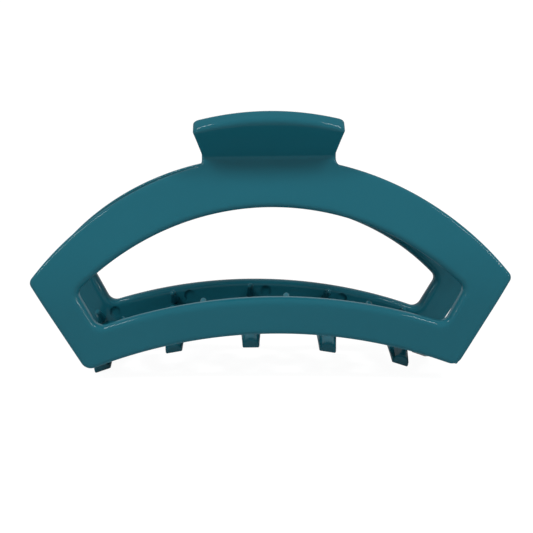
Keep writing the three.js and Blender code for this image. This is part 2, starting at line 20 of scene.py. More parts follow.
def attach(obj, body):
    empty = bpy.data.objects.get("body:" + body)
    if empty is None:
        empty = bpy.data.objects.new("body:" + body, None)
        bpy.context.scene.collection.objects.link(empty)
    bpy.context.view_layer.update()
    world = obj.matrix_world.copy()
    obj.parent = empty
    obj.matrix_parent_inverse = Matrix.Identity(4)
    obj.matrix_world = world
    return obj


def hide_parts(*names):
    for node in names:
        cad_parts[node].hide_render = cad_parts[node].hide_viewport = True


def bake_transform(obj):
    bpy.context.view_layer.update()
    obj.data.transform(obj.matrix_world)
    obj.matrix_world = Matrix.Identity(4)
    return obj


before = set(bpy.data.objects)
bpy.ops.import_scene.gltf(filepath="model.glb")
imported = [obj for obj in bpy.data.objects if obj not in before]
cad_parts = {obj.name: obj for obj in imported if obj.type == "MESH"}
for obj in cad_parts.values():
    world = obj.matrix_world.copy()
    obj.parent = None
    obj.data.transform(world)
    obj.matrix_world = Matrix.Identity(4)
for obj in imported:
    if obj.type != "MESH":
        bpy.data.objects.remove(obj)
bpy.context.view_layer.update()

LOG = logging.getLogger("hair_clip")
MM = 0.001
ACROSS = Vector((1.0, 0.0, 0.0))
BACK = Vector((0.0, 1.0, 0.0))
UP = Vector((0.0, 0.0, 1.0))
QUARTER = math.pi / 2.0

# Points of a drawing that are nearer than this are one point, in millimetres
MERGE = 0.001

# Sizes that several pieces share, in millimetres
FRAME_TOP = 51.9
ARCH_RADIUS = 70.0
ARCH_HEIGHT = 11.9
SIDE_HALF_WIDTH = 52.1
SIDE_BAR_WIDTH = 9.3
BAR_UNDERSIDE = 10.95
BAR_RADIUS = 118.0
BAR_HEIGHT = 8.5
BAR_CENTRE_Z = BAR_UNDERSIDE - BAR_RADIUS
HINGE_Z = 47.107
PIN_RADIUS = 1.2


class Body(Enum):
    """The rigid bodies that the pieces ride on."""

    FRONT = "front"
    REAR = "rear"


class Slot(Enum):
    """Names of the material slots."""

    PLASTIC = "jaw_plastic"
    STEEL = "steel"


class Cut(Enum):
    """How one solid is combined with another."""

    JOIN = "UNION"
    REMOVE = "DIFFERENCE"


class Round(Enum):
    """What is rounded: the edges of a solid or the corners of a flat section."""

    EDGES = "EDGES"
    CORNERS = "VERTICES"


# Helpers that draw and combine meshes


def lerp(a: float, b: float, share: float) -> float:
    """The value a share of the way from a to b."""
    return a + (b - a) * share


def side_point(depth: float, z: float) -> Vector:
    """A point in the side view of the front jaw, from its distance to the hinge plane."""
    return Vector((0.0, -depth, z))


class Pen:
    """The moving end of a chain of edges, drawn by straight runs and by turns."""

    def __init__(self, mesh: BMesh, start: Vector, axis: Vector) -> None:
        """Starts a chain.

        Args:
            mesh: The mesh that gets the chain.
            start: Place of its first vertex.
            axis: Direction about which the turns go.
        """
        self.mesh = mesh
        self.axis = axis
        self.end = mesh.verts.new(start)

    def run(self, target: Vector, steps: int = 1) -> None:
        """Extrudes the chain straight to a point.

        Args:
            target: Place of the new end.
            steps: Number of edges.
        """
        step = (target - self.end.co) / steps
        for _ in range(steps):
            grown = bmesh.ops.extrude_vert_indiv(self.mesh, verts=[self.end])
            self.end = grown["verts"][0]
            self.end.co += step

    def turn(self, centre: Vector, angle: float, steps: int) -> None:
        """Spins the end about a centre.

        Args:
            centre: Centre of the arc.
            angle: How far it turns, in radians.
            steps: Number of edges.
        """
        spun = bmesh.ops.spin(
            self.mesh, geom=[self.end], cent=centre, axis=self.axis, angle=angle, steps=steps
        )
        self.end = next(item for item in spun["geom_last"] if isinstance(item, BMVert))


def rounded(
    mesh: BMesh,
    items: list[BMEdge] | list[BMVert],
    radius: float,
    steps: int,
    affect: Round = Round.EDGES,
) -> None:
    """Rounds edges or corners of a mesh.

    Args:
        mesh: The mesh.
        items: The edges, or the vertices at the corners.
        radius: Radius of the round where faces meet squarely.
        steps: Number of steps round it.
        affect: Which of the two the items are.
    """
    bmesh.ops.bevel(
        mesh,
        geom=items,
        offset=radius,
        offset_type="OFFSET",
        affect=affect.value,
        segments=steps,
        profile=0.5,
        material=-1,
        clamp_overlap=True,
    )


def section(mesh: BMesh, width: float, height: float, top: float, foot: float, steps: int) -> None:
    """Draws a rectangle with rounded corners about the origin in the plane of X and Y.

    Args:
        mesh: An empty mesh.
        width: Size along X.
        height: Size along Y.
        top: Radius of the corners towards +Y.
        foot: Radius of the corners towards -Y.
        steps: Steps round each corner.
    """
    bmesh.ops.create_grid(mesh, x_segments=1, y_segments=1, size=0.5)
    bmesh.ops.scale(mesh, vec=(width, height, 1.0), verts=mesh.verts)
    upper = [vert for vert in mesh.verts if vert.co.y > 0.0]
    lower = [vert for vert in mesh.verts if vert.co.y < 0.0]
    rounded(mesh, upper, top, steps, Round.CORNERS)
    rounded(mesh, lower, foot, steps, Round.CORNERS)


def swept(mesh: BMesh, stations: list[Matrix]) -> None:
    """Extrudes the mesh's faces through a row of places into a closed solid.

    Args:
        mesh: A flat section about the origin in the plane of X and Y.
        stations: For each place, the matrix that takes the section there.
    """
    faces = mesh.faces[:]
    before = Matrix.Identity(4)
    for i, station in enumerate(stations):
        if i > 0:
            grown = bmesh.ops.extrude_face_region(mesh, geom=faces)
            if i > 1:
                bmesh.ops.delete(mesh, geom=faces, context="FACES")
            faces = [item for item in grown["geom"] if isinstance(item, BMFace)]
        moved = list({vert for face in faces for vert in face.verts})
        bmesh.ops.transform(mesh, matrix=station @ before.inverted(), verts=moved)
        before = station
    bmesh.ops.recalc_face_normals(mesh, faces=mesh.faces)


def place_of(x_way: Vector, y_way: Vector, spot: Vector, x_size: float, y_size: float) -> Matrix:
    """The matrix that stretches a section and lays its X and Y along unit vectors at a spot."""
    turn = Matrix((x_way, y_way, x_way.cross(y_way))).transposed().to_4x4()
    return Matrix.Translation(spot) @ turn @ Matrix.Diagonal((x_size, y_size, 1.0, 1.0))


def turned(mesh: BMesh, steps: int) -> None:
    """Spins a chain of edges once round +Z into a closed solid.

    Args:
        mesh: A mesh that holds only the chain, from one pole to the other.
        steps: Number of steps round the axis.
    """
    bmesh.ops.spin(
        mesh,
        geom=mesh.verts[:] + mesh.edges[:],
        cent=(0.0, 0.0, 0.0),
        axis=UP,
        angle=2.0 * math.pi,
        steps=steps,
        use_merge=True,
    )
    bmesh.ops.remove_doubles(mesh, verts=mesh.verts, dist=MERGE)
    bmesh.ops.recalc_face_normals(mesh, faces=mesh.faces)


def rod(radius: float, length: float, sides: int, place: Matrix) -> BMesh:
    """Makes a closed round bar.

    Args:
        radius: Its radius.
        length: Its length.
        sides: Number of sides.
        place: Takes it to its place from the origin, where it lies along Z.

    Returns:
        Its mesh.
    """
    mesh = bmesh.new()
    bmesh.ops.create_cone(
        mesh,
        cap_ends=True,
        segments=sides,
        radius1=radius,
        radius2=radius,
        depth=length,
        matrix=place,
    )
    return mesh


def thickened(mesh: BMesh, way: Vector) -> None:
    """Extrudes flat faces straight into a closed solid.

    Args:
        mesh: A mesh that holds only these faces.
        way: How far they go.
    """
    grown = bmesh.ops.extrude_face_region(mesh, geom=mesh.faces[:])
    moved = [item for item in grown["geom"] if isinstance(item, BMVert)]
    bmesh.ops.translate(mesh, verts=moved, vec=way)
    bmesh.ops.recalc_face_normals(mesh, faces=mesh.faces)


def gathered(sources: list[BMesh]) -> BMesh:
    """Puts several meshes into one.

    Args:
        sources: The meshes, which are freed.

    Returns:
        A new mesh that holds them all.
    """
    mesh = bmesh.new()
    holder = bpy.data.meshes.new("holder")
    for source in sources:
        source.to_mesh(holder)
        source.free()
        mesh.from_mesh(holder)
    bpy.data.meshes.remove(holder)
    return mesh


def object_of(name: str, mesh: BMesh) -> bpy.types.Object:
    """Links a new object at the origin that holds the mesh.

    Args:
        name: Name of the object and its mesh.
        mesh: The mesh in millimetres, which is freed.

    Returns:
        The object, in metres.
    """
    data = bpy.data.meshes.new(name)
    bmesh.ops.scale(mesh, vec=(MM, MM, MM), verts=mesh.verts)
    mesh.to_mesh(data)
    mesh.free()
    piece = bpy.data.objects.new(name, data)
    bpy.context.scene.collection.objects.link(piece)
    return piece


def combined(piece: bpy.types.Object, tool: bpy.types.Object, cut: Cut) -> None:
    """Joins the tool's solid to the piece or cuts it away, and removes the tool.

    Args:
        piece: The object that changes.
        tool: The object that is used up.
        cut: What is done with it.
    """
    modifier = piece.modifiers.new("combine", "BOOLEAN")
    modifier.operation = cut.value
    modifier.object = tool
    modifier.solver = "EXACT"
    graph = bpy.context.evaluated_depsgraph_get()
    result = bpy.data.meshes.new_from_object(piece.evaluated_get(graph))
    piece.modifiers.clear()
    used = (piece.data, tool.data)
    piece.data = result
    bpy.data.objects.remove(tool)
    for data in used:
        bpy.data.meshes.remove(data)


# Finishes


def linear(code: str) -> tuple[float, float, float, float]:
    """Turns a written colour into the one that a socket takes.

    Args:
        code: An sRGB hex code such as "24616f".

    Returns:
        The linear colour with full alpha.
    """
    shares = (int(code[i : i + 2], 16) / 255.0 for i in (0, 2, 4))
    red, green, blue = (s / 12.92 if s <= 0.04045 else ((s + 0.055) / 1.055) ** 2.4 for s in shares)
    return (red, green, blue, 1.0)


class Nodes:
    """Node tree of one material or world, with one short call to add and link a node."""

    def __init__(self, owner: bpy.types.Material | bpy.types.World) -> None:
        """Starts an empty node tree.

        Args:
            owner: The new material or world that gets it.
        """
        self.owner = owner
        owner.use_nodes = True
        self.tree = owner.node_tree
        self.tree.nodes.clear()

    def add(
        self, kind: str, sockets: dict[str | int, object] | None = None, **settings: object
    ) -> bpy.types.Node:
        """Adds a node.

        Args:
            kind: Type of the node without its "ShaderNode" prefix.
            sockets: Values or output sockets for its inputs, by name or number.
            settings: Properties of the node.

        Returns:
            The new node.
        """
        node = self.tree.nodes.new("ShaderNode" + kind)
        for key, value in settings.items():
            setattr(node, key, value)
        for key, value in (sockets or {}).items():
            if isinstance(value, bpy.types.NodeSocket):
                self.tree.links.new(value, node.inputs[key])
            else:
                node.inputs[key].default_value = value
        return node

    def seen(self) -> bpy.types.NodeSocket:
        """Tells what the camera sees from the light that falls on things.

        Returns:
            A socket that is one for the camera's rays, also in gloss and through glass, and zero
            for all others.
        """
        rays = self.add("LightPath").outputs
        seen = rays["Is Camera Ray"]
        for other in ("Is Glossy Ray", "Is Transmission Ray"):
            seen = self.add("Math", {0: seen, 1: rays[other]}, operation="MAXIMUM").outputs[0]
        return seen

    def finish(self, shader: bpy.types.NodeSocket) -> bpy.types.Material | bpy.types.World:
        """Links the shader to the output.

        Args:
            shader: The shader's output socket.

        Returns:
            The material or world that owns the tree.
        """
        kind = "OutputWorld" if isinstance(self.owner, bpy.types.World) else "OutputMaterial"
        self.add(kind, {"Surface": shader})
        return self.owner


@dataclass(frozen=True)
class MouldedAcetal:
    """Acetal, coloured through and injection moulded against polished steel."""

    # To the eye it is an even deep teal that shifts by a shade where the melt flowed, with narrow
    # white glints along its edges. Scuffs dull them here and there, and slight sink ripples bend
    # them. The scuffs are drawn coarser than real ones, so that they show. The gloss is a weak
    # clear coat, because the faces in the photograph reflect hardly anything of the studio.
    name: str = "moulded_acetal"
    body: str = "1a5e6c"
    flow: str = "185a68"
    gloss: float = 0.2
    body_roughness: float = 0.5
    gloss_roughness: tuple[float, float] = (0.05, 0.12)
    scuffed_share: tuple[float, float] = (0.5, 0.8)
    flow_mm: float = 26.0
    flow_detail: float = 2.0
    scuff_mm: float = 6.0
    scuff_detail: float = 5.0
    ripple_mm: float = 4.0
    ripple_detail: float = 1.0
    relief_mm: float = 0.01

    def build(self) -> bpy.types.Material:
        """Makes the material.

        Returns:
            The material, with its flow, scuffs and ripples laid out in object coordinates.
        """
        nodes = Nodes(bpy.data.materials.new(self.name))
        place = nodes.add("TexCoord").outputs["Object"]
        flow, scuffs, ripples = (
            nodes.add("TexNoise", {"Vector": place, "Scale": 1.0 / (size * MM), "Detail": detail})
            for size, detail in (
                (self.flow_mm, self.flow_detail),
                (self.scuff_mm, self.scuff_detail),
                (self.ripple_mm, self.ripple_detail),
            )
        )
        tone = nodes.add(
            "Mix",
            {0: flow.outputs["Fac"], 6: linear(self.body), 7: linear(self.flow)},
            data_type="RGBA",
        )
        polished, scuffed = self.gloss_roughness
        rough = nodes.add(
            "MapRange",
            {
                "Value": scuffs.outputs["Fac"],
                "From Min": self.scuffed_share[0],
                "From Max": self.scuffed_share[1],
                "To Min": polished,
                "To Max": scuffed,
            },
        )
        relief = nodes.add(
            "Bump", {"Height": ripples.outputs["Fac"], "Distance": self.relief_mm * MM}
        )
        shader = nodes.add(
            "BsdfPrincipled",
            {
                "Base Color": tone.outputs[2],
                "Roughness": self.body_roughness,
                "Specular IOR Level": 0.0,
                "Coat Weight": self.gloss,
                "Coat Roughness": rough.outputs["Result"],
                "Coat Normal": relief.outputs["Normal"],
            },
        )
        return nodes.finish(shader.outputs["BSDF"])


@dataclass(frozen=True)
class DrawnSteel:
    """Spring steel, drawn bright through a die."""

    # To the eye it is a bright pale metal whose reflections are a little soft and grainy from the
    # die. The marks are drawn coarser than real ones, so that they show.
    name: str = "drawn_steel"
    body: str = "b9bcc0"
    roughness: tuple[float, float] = (0.196, 0.364)
    mark_mm: float = 0.12
    mark_detail: float = 2.0
    relief_mm: float = 0.004

    def build(self) -> bpy.types.Material:
        """Makes the material.

        Returns:
            The material, with its marks laid out in object coordinates.
        """
        nodes = Nodes(bpy.data.materials.new(self.name))
        place = nodes.add("TexCoord").outputs["Object"]
        scale = 1.0 / (self.mark_mm * MM)
        marks = nodes.add("TexNoise", {"Vector": place, "Scale": scale, "Detail": self.mark_detail})
        smooth, grainy = self.roughness
        rough = nodes.add(
            "MapRange", {"Value": marks.outputs["Fac"], "To Min": smooth, "To Max": grainy}
        )
        relief = nodes.add(
            "Bump", {"Height": marks.outputs["Fac"], "Distance": self.relief_mm * MM}
        )
        shader = nodes.add(
            "BsdfPrincipled",
            {
                "Base Color": linear(self.body),
                "Metallic": 1.0,
                "Roughness": rough.outputs["Result"],
                "Normal": relief.outputs["Normal"],
            },
        )
        return nodes.finish(shader.outputs["BSDF"])


@dataclass(frozen=True)
class UncoatedPaper:
    """White studio paper, rolled without a coating."""

    # To the eye it is plain white without an edge or gloss, and it still takes the clip's soft
    # shadow. To the light that falls on the clip it is a matt pale grey.
    name: str = "uncoated_paper"
    bounce: str = "e2e2e2"
    glow: float = 0.96
    shadow_share: float = 0.1

    def build(self) -> bpy.types.Material:
        """Makes the material.

        Returns:
            The material, which glows only where it is seen.
        """
        nodes = Nodes(bpy.data.materials.new(self.name))
        share = self.shadow_share
        paper = nodes.add("BsdfDiffuse", {"Color": linear(self.bounce)})
        dim = nodes.add("BsdfDiffuse", {"Color": (share, share, share, 1.0)})
        glow = nodes.add("Emission", {"Strength": self.glow})
        lit = nodes.add("AddShader", {0: dim.outputs[0], 1: glow.outputs[0]})
        mixed = nodes.add("MixShader", {0: nodes.seen(), 1: paper.outputs[0], 2: lit.outputs[0]})
        return nodes.finish(mixed.outputs[0])


# Shapes of the jaw


@dataclass(frozen=True)
class SideProfile:
    """Side view of a jaw: an upright lower bar, a bulge, and a straight plate up to the fold."""

    half_depth: float = 21.0
    plate: float = 4.8
    bulge_start: float = 15.9
    bulge_share: float = 1.05
    fold_depth: float = 8.1
    fold_level: float = 51.7

    @property
    def bulge_radius(self) -> float:
        """Radius of the bulge, a share of its rise to the fold."""
        return self.bulge_share * (self.fold_level - self.bulge_start)

    @property
    def lean(self) -> float:
        """Lean of the plate, which runs from the fold down to touch the bulge.

        Returns:
            Its angle to the vertical, in radians.
        """
        inward = self.fold_depth - self.half_depth + self.bulge_radius
        reach = Vector((inward, self.fold_level - self.bulge_start))
        return math.atan2(reach.y, reach.x) - math.acos(self.bulge_radius / reach.length)

    def depth(self, z: float) -> float:
        """How far the outer face stands from the hinge plane.

        Args:
            z: Height above the floor.

        Returns:
            The distance.
        """
        rise = z - self.bulge_start
        if rise <= 0.0:
            return self.half_depth
        radius, lean = self.bulge_radius, self.lean
        arc_rise = radius * math.sin(lean)
        if rise < arc_rise:
            return self.half_depth - radius + math.sqrt(radius**2 - rise**2)
        bulged = radius * (1.0 - math.cos(lean))
        return self.half_depth - bulged - (rise - arc_rise) * math.tan(lean)


@dataclass(frozen=True)
class Outline:
    """One closed edge of the open frame: an arch, two leaning sides and the lower bar's arc."""

    top: float
    arch_radius: float
    half_width: float
    lean: float
    bar_radius: float
    corner: float
    foot: float
    side_level: float = 16.9
    bar_centre_z: float = BAR_CENTRE_Z
    arch_steps: int = 110
    corner_steps: int = 8
    side_steps: int = 14
    bar_steps: int = 70

    def draw(self, mesh: BMesh) -> list[BMEdge]:
        """Draws the edge in the plane of X and Z.

        Args:
            mesh: The mesh that gets it.

        Returns:
            Its edges, one closed chain.
        """
        known = {*mesh.verts, *mesh.edges}
        arch_centre = UP * (self.top - self.arch_radius)
        bar_centre = UP * self.bar_centre_z
        outward = Vector((math.cos(self.lean), 0.0, -math.sin(self.lean)))
        upper = self.touching(self.corner, arch_centre, self.arch_radius - self.corner)
        lower = self.touching(self.foot, bar_centre, self.bar_radius + self.foot)
        arch_turn = math.atan2(upper.x, (upper - arch_centre).z)
        bar_turn = math.atan2(lower.x, (lower - bar_centre).z)
        pen = Pen(mesh, UP * self.top, BACK)
        pen.turn(arch_centre, arch_turn, self.arch_steps)
        pen.turn(upper, QUARTER + self.lean - arch_turn, self.corner_steps)
        pen.run(lower + outward * self.foot, self.side_steps)
        pen.turn(lower, QUARTER + bar_turn - self.lean, self.corner_steps)
        pen.turn(bar_centre, -bar_turn, self.bar_steps)
        half = [item for item in (*mesh.verts, *mesh.edges) if item not in known]
        bmesh.ops.mirror(mesh, geom=half, matrix=Matrix.Identity(4), merge_dist=MERGE, axis="X")
        return [edge for edge in mesh.edges if edge not in known]

    def touching(self, radius: float, centre: Vector, reach: float) -> Vector:
        """Centre of a round that touches the straight side and a circle.

        Args:
            radius: Radius of the round.
            centre: Centre of the circle.
            reach: Distance between the two centres.

        Returns:
            The centre that lies nearer to the side's level.
        """
        along = Vector((math.sin(self.lean), 0.0, math.cos(self.lean)))
        inward = Vector((-math.cos(self.lean), 0.0, math.sin(self.lean)))
        start = Vector((self.half_width, 0.0, self.side_level))
        base = start + inward * radius
        offset = base - centre
        half = offset.dot(along)
        root = math.sqrt(half**2 - offset.length_squared + reach**2)
        options = (base + along * travel for travel in (-half + root, -half - root))
        return min(options, key=lambda point: (point - start).length)


@dataclass(frozen=True)
class OpenFrame:
    """The arched open frame, a strip with rounded rims that follows the side profile."""

    profile: SideProfile
    outer: Outline = Outline(
        top=FRAME_TOP,
        arch_radius=ARCH_RADIUS,
        half_width=SIDE_HALF_WIDTH,
        lean=math.radians(32.1),
        bar_radius=BAR_RADIUS,
        corner=1.6,
        foot=2.6,
    )
    window: Outline = Outline(
        top=FRAME_TOP - ARCH_HEIGHT,
        arch_radius=63.6,
        half_width=SIDE_HALF_WIDTH - SIDE_BAR_WIDTH,
        lean=math.radians(29.6),
        bar_radius=BAR_RADIUS + BAR_HEIGHT,
        corner=1.9,
        foot=2.4,
    )
    rim: float = 0.9
    window_rim: float = 1.6
    rim_steps: int = 6
    face_cuts: int = 9
    bare_half_width: float = 17.2
    facing: float = 0.999

    def build(self) -> BMesh:
        """Draws and bridges both edges, thickens the sheet, rounds its rims and bends it.

        Returns:
            The frame, whose outer rim stays sharp where the tab covers it.
        """
        mesh = bmesh.new()
        outer = self.outer.draw(mesh)
        window = self.window.draw(mesh)
        rim_spots = {self.spot(edge) for edge in outer if not self.under_tab(edge)}
        window_spots = {self.spot(edge) for edge in window}
        bmesh.ops.bridge_loops(mesh, edges=outer + window)
        thickened(mesh, BACK * self.profile.plate)
        for spots, radius in ((rim_spots, self.rim), (window_spots, self.window_rim)):
            edges = [edge for edge in mesh.edges if self.spot(edge) in spots]
            rounded(mesh, edges, radius, self.rim_steps)
        flat = {face for face in mesh.faces if abs(face.normal.y) > self.facing}
        spans = [edge for edge in mesh.edges if flat.issuperset(edge.link_faces)]
        bmesh.ops.subdivide_edges(mesh, edges=spans, cuts=self.face_cuts, use_grid_fill=True)
        for vert in mesh.verts:
            vert.co.y -= self.profile.depth(vert.co.z)
        return mesh

    def spot(self, edge: BMEdge) -> tuple[float, float]:
        """Where the middle of an edge stands, seen from the front."""
        middle = (edge.verts[0].co + edge.verts[1].co) / 2.0
        return (round(middle.x, 3), round(middle.z, 3))

    def under_tab(self, edge: BMEdge) -> bool:
        """Whether an outer edge lies where the tab grows out of the arch."""
        x, z = self.spot(edge)
        return abs(x) < self.bare_half_width and z > self.window.top


@dataclass(frozen=True)
class ThumbTab:
    """The thumb tab: it folds out of the plate, flares and ends in a thick rounded rim."""

    profile: SideProfile
    arch_top: float = FRAME_TOP
    arch_radius: float = ARCH_RADIUS
    fold_radius: float = 1.0
    flare: float = math.radians(42.0)
    length: float = 11.54
    rim: float = 4.4
    rim_radius: float = 1.3
    neck: float = 16.1
    rim_half_width: float = 18.2
    corner: float = 1.6
    crown: float = 70.0
    fillet: float = 2.2
    root: float = 5.0
    edge: float = 0.9
    inset: float = 0.02
    root_steps: int = 8
    fold_steps: int = 12
    flat_steps: int = 10
    corner_steps: int = 12
    edge_steps: int = 6
    width_cuts: int = 36

    @property
    def wall(self) -> float:
        """Thickness of the plate, square to its face."""
        return self.profile.plate * math.cos(self.profile.lean)

    @property
    def fold_wall(self) -> float:
        """Thickness at the end of the fold."""
        return (self.wall + self.rim) / 2.0

    @property
    def straight(self) -> float:
        """Length of the outer face past the fold."""
        return self.length - self.fold_radius * math.tan((self.profile.lean + self.flare) / 2.0)

    @property
    def way_up(self) -> Vector:
        """Direction up the tab's outer face."""
        return side_point(math.sin(self.flare), math.cos(self.flare))

    def stations(self) -> list[tuple[Vector, Vector, float, float]]:
        """Stations up the tab.

        Returns:
            For each, a point on the outer face, the way through the wall, the thickness and the
            run past the fold.
        """
        lean = self.profile.lean
        plate_up = side_point(-math.sin(lean), math.cos(lean))
        plate_out = side_point(math.cos(lean), math.sin(lean))
        corner = side_point(self.profile.fold_depth, self.profile.fold_level)
        start = corner - plate_up * (self.fold_radius * math.tan((lean + self.flare) / 2.0))
        centre = start + plate_out * self.fold_radius
        stations = []
        for i in range(self.root_steps):
            spot = start - plate_up * (self.root * (1.0 - i / self.root_steps))
            stations.append((spot, -plate_out, self.wall, 0.0))
        for i in range(self.fold_steps + 1):
            share = i / self.fold_steps
            turn = Matrix.Rotation((lean + self.flare) * share, 3, "X")
            through = turn @ -plate_out
            thickness = lerp(self.wall, self.fold_wall, share)
            stations.append((centre + through * self.fold_radius, through, thickness, 0.0))
        foot, through = stations[-1][0], stations[-1][1]
        flat = self.straight - self.corner
        runs = [flat * i / self.flat_steps for i in range(1, self.flat_steps + 1)]
        for i in range(1, self.corner_steps + 1):
            runs.append(flat + self.corner * math.sin(i / self.corner_steps * QUARTER))
        for run in runs:
            thickness = lerp(self.fold_wall, self.rim, run / self.straight)
            stations.append((foot + self.way_up * run, through, thickness, run))
        return stations

    def half_width(self, z: float, run: float) -> float:
        """Half width: neck fillets below, a flare, and round corners at the rim.

        Args:
            z: Height of the station.
            run: Its run past the fold.

        Returns:
            Half of the width.
        """
        reach = self.neck + self.fillet
        arch_z = self.arch_top - self.arch_radius + math.sqrt(self.arch_radius**2 - reach**2)
        below = min(max(arch_z + self.fillet - z, 0.0), self.fillet)
        spread = self.fillet - math.sqrt(self.fillet**2 - below**2)
        flare = (self.rim_half_width - self.neck) * run / self.straight
        past = max(run - (self.straight - self.corner), 0.0)
        loss = self.corner - math.sqrt(max(self.corner**2 - past**2, 0.0))
        return self.neck + spread + flare - loss

    def build(self) -> BMesh:
        """Sweeps a rounded section up the tab and curves its rim.

        Returns:
            The tab, whose foot lies inside the arch.
        """
        mesh = bmesh.new()
        section(mesh, 2.0 * self.neck, self.wall, self.edge, self.edge, self.edge_steps)
        spans = [edge for edge in mesh.edges if edge.calc_length() > self.neck]
        bmesh.ops.subdivide_edges(mesh, edges=spans, cuts=self.width_cuts)
        places = []
        for spot, through, thickness, run in self.stations():
            past = max(run - (self.straight - self.rim_radius), 0.0)
            loss = self.rim_radius - math.sqrt(max(self.rim_radius**2 - past**2, 0.0))
            middle = spot + through * (thickness / 2.0)
            wall = thickness - 2.0 * (self.inset + loss)
            width = self.half_width(spot.z, run) / self.neck
            places.append(place_of(ACROSS, -through, middle, width, wall / self.wall))
        swept(mesh, places)
        foot = self.stations()[self.root_steps + self.fold_steps][0]
        for vert in mesh.verts:
            run = max((vert.co - foot).dot(self.way_up), 0.0)
            share = min(run / self.straight, 1.0)
            drop = vert.co.x**2 / (2.0 * self.crown) / math.cos(self.flare)
            vert.co -= self.way_up * (drop * share)
        return mesh


@dataclass(frozen=True)
class HingeEars:
    """Two round ears on webs behind the plate, placed so that a turned jaw fits between them."""

    profile: SideProfile
    hinge_z: float = HINGE_Z
    radius: float = 3.3
    width: float = 3.7
    starts: tuple[float, float] = (5.31, -13.21)
    web_rise: float = 2.5
    web_drop: float = 6.0
    sink: float = 1.4
    break_edge: float = 0.3
    hole_radius: float = 1.7
    hole_length: float = 40.0
    wrap: float = math.radians(240.0)
    round_steps: int = 40
    edge_steps: int = 3
    hole_sides: int = 48

    def build(self) -> BMesh:
        """Builds both ears."""
        return gathered([self.build_ear(start) for start in self.starts])

    def build_ear(self, start: float) -> BMesh:
        """Draws the side of an ear, extrudes it along the hinge and breaks its rims.

        Args:
            start: Where its left side stands along the hinge.

        Returns:
            Its mesh.
        """
        mesh = bmesh.new()
        shift = ACROSS * start
        hinge = UP * self.hinge_z + shift
        foot, top = self.hinge_z - self.web_drop, self.hinge_z + self.web_rise
        first = Matrix.Rotation(self.wrap / 2.0, 3, "X") @ (BACK * self.radius)
        pen = Pen(mesh, hinge + first, ACROSS)
        pen.turn(hinge, -self.wrap, self.round_steps)
        for z in (foot, top):
            inner = self.profile.depth(z) - self.profile.plate
            pen.run(shift + side_point(inner + self.sink, z))
        bmesh.ops.contextual_create(mesh, geom=mesh.verts[:] + mesh.edges[:])
        thickened(mesh, ACROSS * self.width)
        spans = ((edge, edge.verts[0].co - edge.verts[1].co) for edge in mesh.edges)
        rims = [edge for edge, span in spans if abs(span.x) < MERGE]
        rounded(mesh, rims, self.break_edge, self.edge_steps)
        return mesh

    def build_hole(self) -> BMesh:
        """Builds the bar along the hinge that the pin's hole is cut with."""
        place = Matrix.Translation(UP * self.hinge_z) @ Matrix.Rotation(QUARTER, 4, "Y")
        return rod(self.hole_radius, self.hole_length, self.hole_sides, place)


